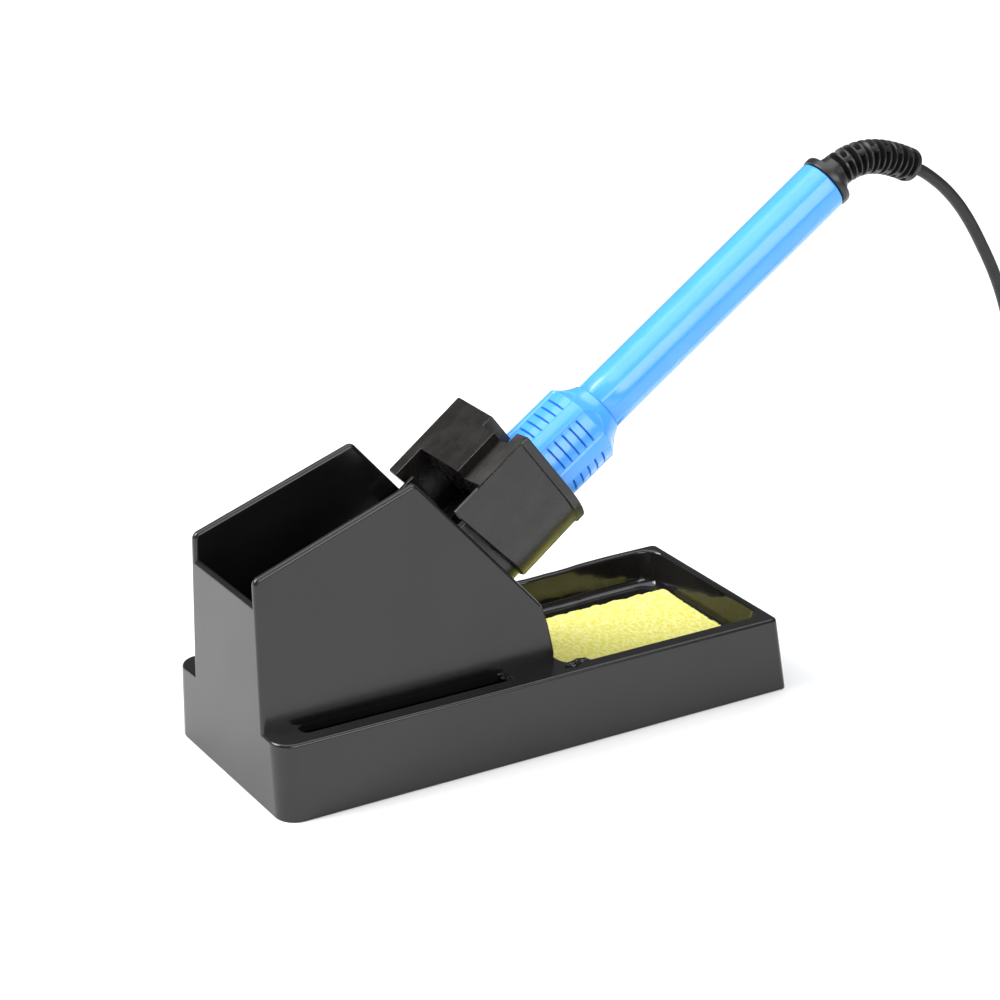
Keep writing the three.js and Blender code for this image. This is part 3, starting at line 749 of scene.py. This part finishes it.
def underside_cutters():
    """The rooms under the deck and under the tray, and the recess that the bottom plate lies in."""
    half, corner, low = BASE["width"] / 2 - ROOMS["wall"], ROOMS["corner"], -2
    guard, tray = (rounded_rectangle(*ROOMS[room], -half, half, corner) for room in ("guard", "tray"))
    x, y = BASE["length"] / 2 - PLATE["inset"], BASE["width"] / 2 - PLATE["inset"]
    plate = rounded_rectangle(-x, x, -y, y, PLATE["corner"])
    return [
        cutter(guard, low, BASE["height"] - DECK), cutter(tray, low, TRAY["floor"] - ROOMS["tray_floor"]),
        cutter(plate, low, PLATE["top"]),
    ]


def boss(x, y, top):
    """A pillar for one of the bottom plate's screws, with its blind hole."""
    low, r, hole, hole_top = PLATE["top"], BOSS["radius"], BOSS["hole"], BOSS["hole_top"]
    profile = [(hole, low), (r, low), (r, top), (0.01, top), (0.01, hole_top), (hole, hole_top)]
    return make_piece("boss", *turned(profile, 32, closed=True), LOOKS["black"], moved(x, y, 0))


def lump(centre, size, seed):
    """A small lump of plastic that has melted and set again."""
    sheet = bmesh.new()
    bmesh.ops.create_icosphere(sheet, subdivisions=4, radius=1)
    for vert in sheet.verts:
        spot = vert.co * 1.7 + Vector((seed, 0, 0))
        vert.co *= 1 + 0.5 * noise.noise(spot) + 0.4 * noise.noise(spot * 2.7) + 0.15 * noise.noise(spot * 6)
        vert.co = Vector(c + s * v for c, s, v in zip(centre, size, vert.co)) * MM
    mesh = bpy.data.meshes.new("lump")
    sheet.to_mesh(mesh)
    sheet.free()
    finish_mesh(mesh, LOOKS["gloss"], 80)
    return new_object("lump", mesh)


def gloss_tray(piece):
    """The tray's inside is polished, the rest of the moulding is satin."""
    piece.data.materials.append(LOOKS["gloss"])
    for face in piece.data.polygons:
        x, y, z = (coordinate / MM for coordinate in face.center)
        inside = TRAY["left"] < x < TRAY["right"] and TRAY["near"] < y < TRAY["far"]
        if inside and TRAY["floor"] - 1 < z < BASE["height"] - 0.3:
            face.material_index = 1


def add_base():
    base = base_skirt()
    boolean(base, "UNION", [guard_wall(-1), guard_wall(1), *guard_ends(), cradle_rail()])
    boolean(base, "DIFFERENCE", [*underside_cutters(), tray_cutter(), slot_cutter()])
    low, high = TRAY["floor"] - 1.7, BASE["height"] - DECK + 0.5
    places = [(x, y) for x in (-BOSS["x"], BOSS["x"]) for y in (-BOSS["y"], BOSS["y"])]
    bosses = [boss(x, y, low if x > 0 else high) for x, y in places]
    melted = [
        lump((16.5, -29.2, 24.2), (4.6, 1.5, 1.3), 1.0),
        lump((20.5, -28.8, 23.2), (2.6, 1.6, 1.2), 4.0),
        lump((13.6, -31.2, 25.3), (2.8, 1.3, 0.9), 11.0),
        lump((SLOT["right"] + 0.4, -28.2, 25.0), (1.5, 2.3, 0.9), 8.0),
    ]
    boolean(base, "UNION", [*bosses, *melted])
    gloss_tray(base)
    steady_shading(base)
    place_piece(base, "stand", "base_moulding")


# ---- cradle block ----
def cradle_ring(half, inset, height_at, top=0.0, proud=0.0, straight=CRADLE["straight"]):
    """A U-shaped section: flat top, straight sides, half-round bottom, proud on the near side and below."""
    corner, side, first = 0.7, half - inset, inset + top
    outline = arc_points(first + corner, -side - proud + corner, corner, 180, 270, 4)
    for step in range(37):
        angle = math.pi * (step / 36 - 0.5)
        r = side + proud * (1 - smoothstep(angle / (math.pi / 2)))
        outline.append((straight + r * math.cos(angle), r * math.sin(angle)))
    outline += arc_points(first + corner, side - corner, corner, 90, 180, 4)
    return [(x, y, height_at(x)) for x, y in outline]


def cradle_body():
    """The block, from its slanted rear end to its flange."""
    half, long, proud, slant = (CRADLE[part] for part in ("half", "length", "proud", "rear_slant"))
    depth, end = CRADLE["straight"] + half + 1, long + CRADLE["flange"]
    rears = ((0.7, 0), (0.2, 0.2), (0, 0.7))
    rings = [
        cradle_ring(half, inset, lambda x, more=more: slant * x / depth + more) for inset, more in rears
    ]
    fronts = (
        (0, long - 0.1, 0), (0, long, 0.15), (0, long + 0.02, proud - 0.25), (0, long + 0.3, proud),
        (0, end - 0.5, proud), (0.15, end - 0.13, proud), (0.5, end, proud),
    )
    rings += [cradle_ring(half, inset, lambda x, z=z: z, proud=out) for inset, z, out in fronts]
    return make_piece("cradle", *loft(rings), LOOKS["phenolic"], CRADLE_FRAME)


def cradle_tongue():
    """The narrower rear end of the block, which reaches into the guard."""
    half, back, straight = CRADLE["tongue_half"], -CRADLE["tongue"], CRADLE["tongue_straight"]
    steps = ((0.6, back), (0.15, back + 0.15), (0, back + 0.6), (0, 7))
    top = CRADLE["tongue_top"]
    rings = [cradle_ring(half, inset, lambda x, z=z: z, top, straight=straight) for inset, z in steps]
    return make_piece("tongue", *loft(rings), LOOKS["phenolic"], CRADLE_FRAME)


def bore_cutter(radius, start, end):
    profile = [(0.01, start), (radius, start), (radius, end), (0.01, end)]
    return make_piece("bore", *turned(profile, 96), LOOKS["phenolic"], IRON_FRAME)


def channel_cutter():
    """The side channel: a ramp that falls from the near edge to an upright far wall."""
    near, far, deep = CHANNEL["near"], CHANNEL["far"], CHANNEL["deep"]
    ramp = [(0.1, near), (1.3, -17), (2.9, -11), (deep - 0.1, far - 1.2), (deep, far)]
    end = CRADLE["length"] + CRADLE["flange"] + 1
    return cutter([(-PAST, near - 1), *ramp, (-PAST, far)], CHANNEL["start"], end, CRADLE_FRAME)


def cradle_cutter(deep, near, far, start, end):
    """A box open at the block's top face; start and end lie along that face."""
    return box_cutter(-PAST, deep, near, far, start, end, CRADLE_FRAME)


def paint_ramp_highlight(piece):
    """The channel's ramp is painted lighter than the rest of the block: a painted highlight for the light
    that the ramp catches.
    """
    piece.data.materials.append(LOOKS["ramp_highlight"])
    near, far = CHANNEL["near"] + 0.2, CHANNEL["far"] - 0.2
    for face in piece.data.polygons:
        depth, across, along = (coordinate / MM for coordinate in face.center)
        on_ramp = 0.15 < depth < CHANNEL["deep"] - 0.05 and near < across < far
        faces_up = face.normal.x < -0.9
        if on_ramp and faces_up and along > POCKET["long"] + 0.2:
            face.material_index = 1


def add_cradle():
    deep, long, side = POCKET["deep"], POCKET["long"], POCKET["tongue_side"]
    behind, beside = -20, 16
    tongue = cradle_tongue()
    boolean(tongue, "DIFFERENCE", [
        cradle_cutter(deep, -side, side, behind, long),
        cradle_cutter(deep, -beside, beside, POCKET["tongue_long"], long),
        cradle_cutter(POCKET["step_deep"], -beside, -side + 0.1, behind, POCKET["step_long"]),
    ])
    cradle = cradle_body()
    boolean(cradle, "DIFFERENCE", [cradle_cutter(deep, POCKET["near"], POCKET["far"], 0, long)])
    boolean(cradle, "UNION", [tongue])
    end = CRADLE["length"] + CRADLE["flange"]
    boolean(cradle, "DIFFERENCE", [
        bore_cutter(BORE["grip"], BORE["seat"], 40), bore_cutter(BORE["barrel"], -70, 10),
        channel_cutter(),
        cradle_cutter(CHANNEL["mouth"], CHANNEL["mouth_near"], 0, CRADLE["length"] - 1, end + 2),
    ])
    merge_flat_faces(cradle)
    soften_edges(cradle, 0.25)
    paint_ramp_highlight(cradle)
    steady_shading(cradle)
    place_piece(cradle, "stand", "cradle_block")


# ---- iron ----
def slot_middles():
    """Where the collar's slots lie along it."""
    last = COLLAR["length"] - COLLAR["last_slot"]
    return [last - slot * COLLAR["pitch"] for slot in range(COLLAR["slots"])]


def circle_of(radius_at, z, sides):
    """A ring at z round a local Z axis; radius_at(angle) gives its section."""
    angles = (FULL_TURN * i / sides for i in range(sides))
    return [(radius_at(a) * math.cos(a), radius_at(a) * math.sin(a), z) for a in angles]


def grip_radius(z, angle):
    """The collar's surface: ribs between sunk panels that end in an arch, each with short slots."""
    back, shoulder, full = COLLAR["length"], COLLAR["shoulder"], COLLAR["radius"]
    top = back - shoulder
    if z > top:  # the shoulder, which is a little hollow
        fall = (z - top) / shoulder
        radius = full - (full - HANDLE["radius"] - 0.5) * (fall + 0.12 * math.sin(math.pi * fall))
    else:  # the ribs, with a rounded front edge
        radius = full - 1.85 * max(0.0, 1 - z / 2.2) ** 1.6
    step = FULL_TURN / COLLAR["panels"]
    off = (angle - math.radians(PANEL_ANGLE) + step / 2) % step - step / 2
    across = off * full
    arch = math.hypot(across, max(0.0, z - (back - COLLAR["arch"])))
    radius -= COLLAR["panel_deep"] * smoothstep((COLLAR["panel_half"] - arch) / 0.8)
    for middle in slot_middles():
        cut = smoothstep((COLLAR["slot_thin"] - abs(z - middle)) / 0.14)
        radius -= COLLAR["slot_deep"] * cut * smoothstep((COLLAR["slot_half"] - abs(across)) / 0.6)
    return radius


def collar_stations():
    """Distances along the collar, closer together at the slots."""
    back = COLLAR["length"]
    marks = {0.0, 0.3, 0.7, 1.2, 1.7, 2.2, back}
    for middle in slot_middles():
        marks |= {middle + side * off for off in (0, 0.2, 0.26, 0.31, 0.37, 0.8, 1.2) for side in (-1, 1)}
    place = back - 9.5
    while place < back:
        marks.add(place)
        place += 0.35
    return sorted(round(mark, 3) for mark in marks)


def add_collar():
    sides = 420
    outside = [circle_of(lambda a, z=z: grip_radius(z, a), z, sides) for z in collar_stations()]
    inside = [circle_of(lambda a: COLLAR["bore"], z, sides) for z in (COLLAR["length"], 0.0)]
    collar = make_piece("grip", *hoop(outside + inside), LOOKS["blue"], IRON_FRAME, 50)
    place_piece(collar, "iron", "grip_collar")


def facet_radius(angle, radius):
    """A round section with soft flats."""
    step = FULL_TURN / HANDLE["facets"]
    off = (angle - math.radians(PANEL_ANGLE) + step / 2) % step - step / 2
    flat = radius * math.cos(step / 2) / math.cos(off)
    return radius + (flat - radius) * HANDLE["flatness"]


def add_handle():
    start, end, sides = COLLAR["length"] + 0.3, HANDLE["end"], 144
    full = HANDLE["radius"] - 0.05
    outer = [(8.25, 0.45), (8.3, start - 2), (8.6, start), (full, start + 0.25)]  # first the spigot
    outer += [(full, start + i * (end - start - 1) / 12) for i in range(1, 13)]
    outer += [(full, end - 0.5), (full - 0.12, end - 0.15), (full - 0.4, end)]
    inner = [(HANDLE["inner"], end), (HANDLE["inner"], start + 3), (5.5, start), (5.5, 0.45)]
    rings = []
    for r, z in outer + inner:
        faceted = z >= start + 0.2 and r > 8.5
        rings.append(circle_of(lambda a, r=r: facet_radius(a, r) if faceted else r, z, sides))
    handle = make_piece("handle", *hoop(rings), LOOKS["blue"], IRON_FRAME, 60)
    place_piece(handle, "iron", "handle_shell")


def add_end_ring():
    low, high = HANDLE["end"] + 0.3, HANDLE["end"] + END_RING["length"]
    r, hole = END_RING["radius"] - 0.05, END_RING["hole"]
    profile = [
        (hole, low), (r - 0.4, low), (r - 0.1, low + 0.15), (r, low + 0.5), (r, high - 0.8),
        (r - 0.2, high - 0.25), (r - 0.7, high), (6.9, high - 0.15), (hole, high - 0.3),
    ]
    ring = make_piece("end_ring", *turned(profile, 96, closed=True), LOOKS["rubber"], IRON_FRAME)
    place_piece(ring, "iron", "handle_end_ring")


def relief_line():
    end, ring = HANDLE["end"], END_RING["length"]
    straight = [IRON_FRAME @ (Vector((0, 0, z)) * MM) / MM for z in (end + 0.6, end + ring + 0.3)]
    return smooth_line([*straight, *((x, MID_Y, z) for x, z in RELIEF_LINE)], 0.16)


def relief_radius_for(total):
    """Ribs round the strain relief, joined by short bridges that change sides from slot to slot."""
    full, pitch, neck_end, cap = (RELIEF[part] for part in ("radius", "pitch", "neck_end", "cap"))
    slots = int((total - cap - neck_end) / pitch)

    def radius_at(distance, angle):
        if distance < 3.0:  # inside the end ring
            return 5.2
        edge = smoothstep((total - distance) / 0.9)
        body = full * (0.8 + 0.2 * math.sqrt(edge)) if distance > total - 0.9 else full
        if distance < neck_end:
            return 6.5 - 0.5 * smoothstep((distance - 3.6) / 1.6)
        index = int((distance - neck_end) / pitch)
        if index >= slots:  # the cap at the lead's end, with a shallow groove
            return body - 0.25 * smoothstep(1 - abs(distance - (total - cap + 1.0)) / 0.5)
        inside = (distance - neck_end) / pitch - index
        open_share = smoothstep((inside - 0.22) / 0.1) * smoothstep((0.95 - inside) / 0.1)
        turn = angle / (FULL_TURN / 2) - (0.25 if index % 2 else 0.75)
        bridge = abs((turn + 0.5) % 1 - 0.5)
        open_share *= smoothstep((bridge - 0.05) / 0.035)
        return body - RELIEF["deep"] * open_share

    return radius_at


def add_relief():
    line = relief_line()
    total = line_length(line)
    ribbed = swept(line, relief_radius_for(total), 96)
    relief = make_piece("relief", *ribbed, LOOKS["rubber"], sharp_degrees=55)
    place_piece(relief, "iron", "strain_relief")


def add_tip():
    """A conical tip; its rear end lies in the barrel."""
    profile = [
        (0.01, -40), (3.1, -40), (3.1, -66.5), (2.95, -68.2), (2.5, -69.6),
        (0.62, -77.3), (0.45, -77.8), (0.2, -78), (0.01, -78),
    ]
    tip = make_piece("tip", *turned(profile, 48), LOOKS["tip"], IRON_FRAME)
    place_piece(tip, "iron", "soldering_tip")


def add_barrel():
    """The tube round the heater, with turned grooves and the hole for the tip's screw."""
    front, back, r, hole = BARREL["front"], BARREL["back"], BARREL["radius"], BARREL["hole"]
    outer = [(hole, front), (r - 0.35, front), (r - 0.1, front + 0.1), (r, front + 0.4), (r, -8), (r, -7)]
    for groove in BARREL["grooves"]:
        outer += [(r, groove - 0.5), (r - 0.35, groove - 0.2), (r - 0.35, groove + 0.2), (r, groove + 0.5)]
    outer = sorted(outer, key=lambda point: point[1])
    profile = [*outer, (r, back), (hole, back)]
    barrel = make_piece("barrel", *turned(profile, 64, closed=True), LOOKS["heated"], IRON_FRAME)
    place = moved(0, 0, front + 5) @ Matrix.Rotation(math.pi / 2, 4, "X")
    drill = turned([(0.01, 0), (1.8, 0), (1.8, 8), (0.01, 8)], 24)
    boolean(barrel, "DIFFERENCE", [make_piece("drill", *drill, LOOKS["steel"], IRON_FRAME @ place)])
    place_piece(barrel, "iron", "barrel_tube")


def add_shield():
    low, high, hole, rim = SHIELD["low"], SHIELD["high"], SHIELD["hole"], SHIELD["radius"]
    profile = [
        (hole, low), (rim - 1.2, low), (rim - 0.3, low + 0.08), (rim, low + 0.4), (rim, high - 0.3),
        (rim - 0.3, high), (rim - 1.2, high), (9, high - 0.25), (7, high - 0.25), (6.4, high), (hole, high),
    ]
    shield = make_piece("shield", *turned(profile, 72, closed=True), LOOKS["dark_steel"], IRON_FRAME)
    place_piece(shield, "iron", "heat_shield")


# ---- sponge ----
def sponge_point(u, v):
    """Where a point of the unit square lies in the sponge's torn outline."""
    x0 = SPONGE["left"] + 0.35 + 0.35 * noise.noise(Vector((1.5, v * 23, 0)))
    x1 = SPONGE["right"] - 0.1 - 0.9 * abs(noise.noise(Vector((7.5, v * 19, 0))))
    x1 -= math.sin(math.pi * v)
    y0 = SPONGE["near"] + 0.4 + 0.35 * noise.noise(Vector((u * 11, 3.5, 0)))
    y1 = SPONGE["far"] - 0.5 - 0.8 * noise.noise(Vector((u * 24, 9.5, 0)))
    y1 -= 0.5 * abs(noise.noise(Vector((u * 31, 2.5, 0))))
    corner = 0.14  # the share of half a side that each corner rounds
    a, b = 2 * u - 1, 2 * v - 1
    over_a, over_b = (max(abs(share) - 1 + corner, 0) / corner for share in (a, b))
    if over_a > 0 and over_b > 0:
        pulled_a = over_a * math.sqrt(1 - over_b**2 / 2)
        pulled_b = over_b * math.sqrt(1 - over_a**2 / 2)
        a = math.copysign(1 - corner + corner * pulled_a, a)
        b = math.copysign(1 - corner + corner * pulled_b, b)
    return x0 + (x1 - x0) * (a + 1) / 2, y0 + (y1 - y0) * (b + 1) / 2


def sponge_height(x, y, round_off, upper):
    """The rough top with its pores, or the flat bottom; round_off is 1 at the sponge's edge."""
    thick = SPONGE["top"] - SPONGE["bottom"]
    if not upper:
        return SPONGE["bottom"] + 0.25 * thick * round_off
    spot = Vector((x, y, 0))
    rough = 0.16 * noise.noise(spot * 0.35) + 0.08 * noise.noise(spot * 1.7)
    pore = max(0.0, noise.noise(spot * 0.9 + Vector((40, 0, 0))) - 0.28)
    return SPONGE["top"] - 0.28 - 0.55 * thick * round_off + rough - 1.5 * pore


def add_sponge():
    across, along = 130, 106  # cells about 0.5 mm wide
    verts, faces = [], []
    for upper in (False, True):
        for j in range(along + 1):
            for i in range(across + 1):
                x, y = sponge_point(i / across, j / along)
                round_off = 1 - smoothstep(min(i, across - i, j, along - j) / 3)
                verts.append((x, y, sponge_height(x, y, round_off, upper)))
    row, sheet = across + 1, (across + 1) * (along + 1)
    for j in range(along):
        for i in range(across):
            a = j * row + i
            faces.append((a, a + row, a + row + 1, a + 1))
            faces.append((a + sheet, a + sheet + 1, a + sheet + row + 1, a + sheet + row))
    edge = [*range(row)] + [j * row + across for j in range(1, along + 1)]
    edge += [along * row + i for i in range(across - 1, -1, -1)] + [j * row for j in range(along - 1, 0, -1)]
    for a, b in zip(edge, edge[1:] + edge[:1]):
        faces.append((a, b, b + sheet, a + sheet))
    sponge = make_piece("sponge", verts, faces, LOOKS["sponge"], sharp_degrees=70)
    place_piece(sponge, "sponge", "cleaning_sponge")


# ---- CAD pieces that stay ----
def dress_cad_nodes():
    dressed = {
        "bottom_plate": "dark_steel", "heater_core": "ceramic", "terminal_block": "ceramic",
        "cord_clamp": "black", "tip_screw": "steel",
    }
    dressed.update({f"rubber_foot_{i}": "strap" for i in range(1, 5)})
    dressed.update({f"plate_screw_{i}": "dark_steel" for i in range(1, 5)})
    dressed.update({f"cradle_screw_{i}": "steel" for i in range(1, 3)})
    for node, look in dressed.items():
        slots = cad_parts[node].material_slots
        slots[0].material = LOOKS[look]


# ---- floor and light ----
SURROUND = 0.2  # the studio walls' brightness, low so that black plastic keeps its depth
FLOOR = {"reach": 1.7, "color": (0.88, 0.88, 0.88), "roughness": 0.8}


def add_floor():
    mesh = bpy.data.meshes.new("floor")
    reach = FLOOR["reach"]
    corners = [(-reach, -reach, 0), (reach, -reach, 0), (reach, reach, 0), (-reach, reach, 0)]
    mesh.from_pydata(corners, [], [(0, 1, 2, 3)])
    mesh.materials.append(new_look("floor", FLOOR["color"], FLOOR["roughness"]))
    floor = new_object("floor", mesh)


def add_light(name, place, target, size, power):
    data = bpy.data.lights.new(name, "AREA")
    data.shape = "RECTANGLE"
    data.size, data.size_y = size
    data.energy = power
    light = new_object(name, data)
    light.location = place
    aim = Vector(place) - Vector(target)
    light.rotation_euler = aim.to_track_quat("Z", "Y").to_euler()


def add_lights():
    world = bpy.data.worlds.new("studio")
    world.use_nodes = True
    bpy.context.scene.world = world
    tree = world.node_tree
    path = tree.nodes.new("ShaderNodeLightPath")
    seen = tree.nodes.new("ShaderNodeMix")
    seen.inputs["A"].default_value = SURROUND
    seen.inputs["B"].default_value = 1.0
    tree.links.new(path.outputs["Is Camera Ray"], seen.inputs["Factor"])
    tree.links.new(seen.outputs["Result"], tree.nodes["Background"].inputs["Strength"])
    tree.nodes["Background"].inputs["Color"].default_value = (1, 1, 1, 1)
    add_light("overhead", (0.1, 0.3, 2.4), (0.1, 0.3, 0), (3.4, 2.5), 66)
    add_light("front", (0.15, -1.3, 0.8), (0.05, -0.15, 0), (1.2, 0.8), 13)
    add_light("left", (-1.3, 0.6, 1.2), (-0.35, 0.25, 0), (1.0, 1.0), 42)
    bpy.context.scene.view_settings.view_transform = "Standard"


add_camera()
add_lead()
add_base()
add_cradle()
add_collar()
add_handle()
add_end_ring()
add_relief()
add_tip()
add_barrel()
add_shield()
add_sponge()
dress_cad_nodes()
add_floor()
add_lights()
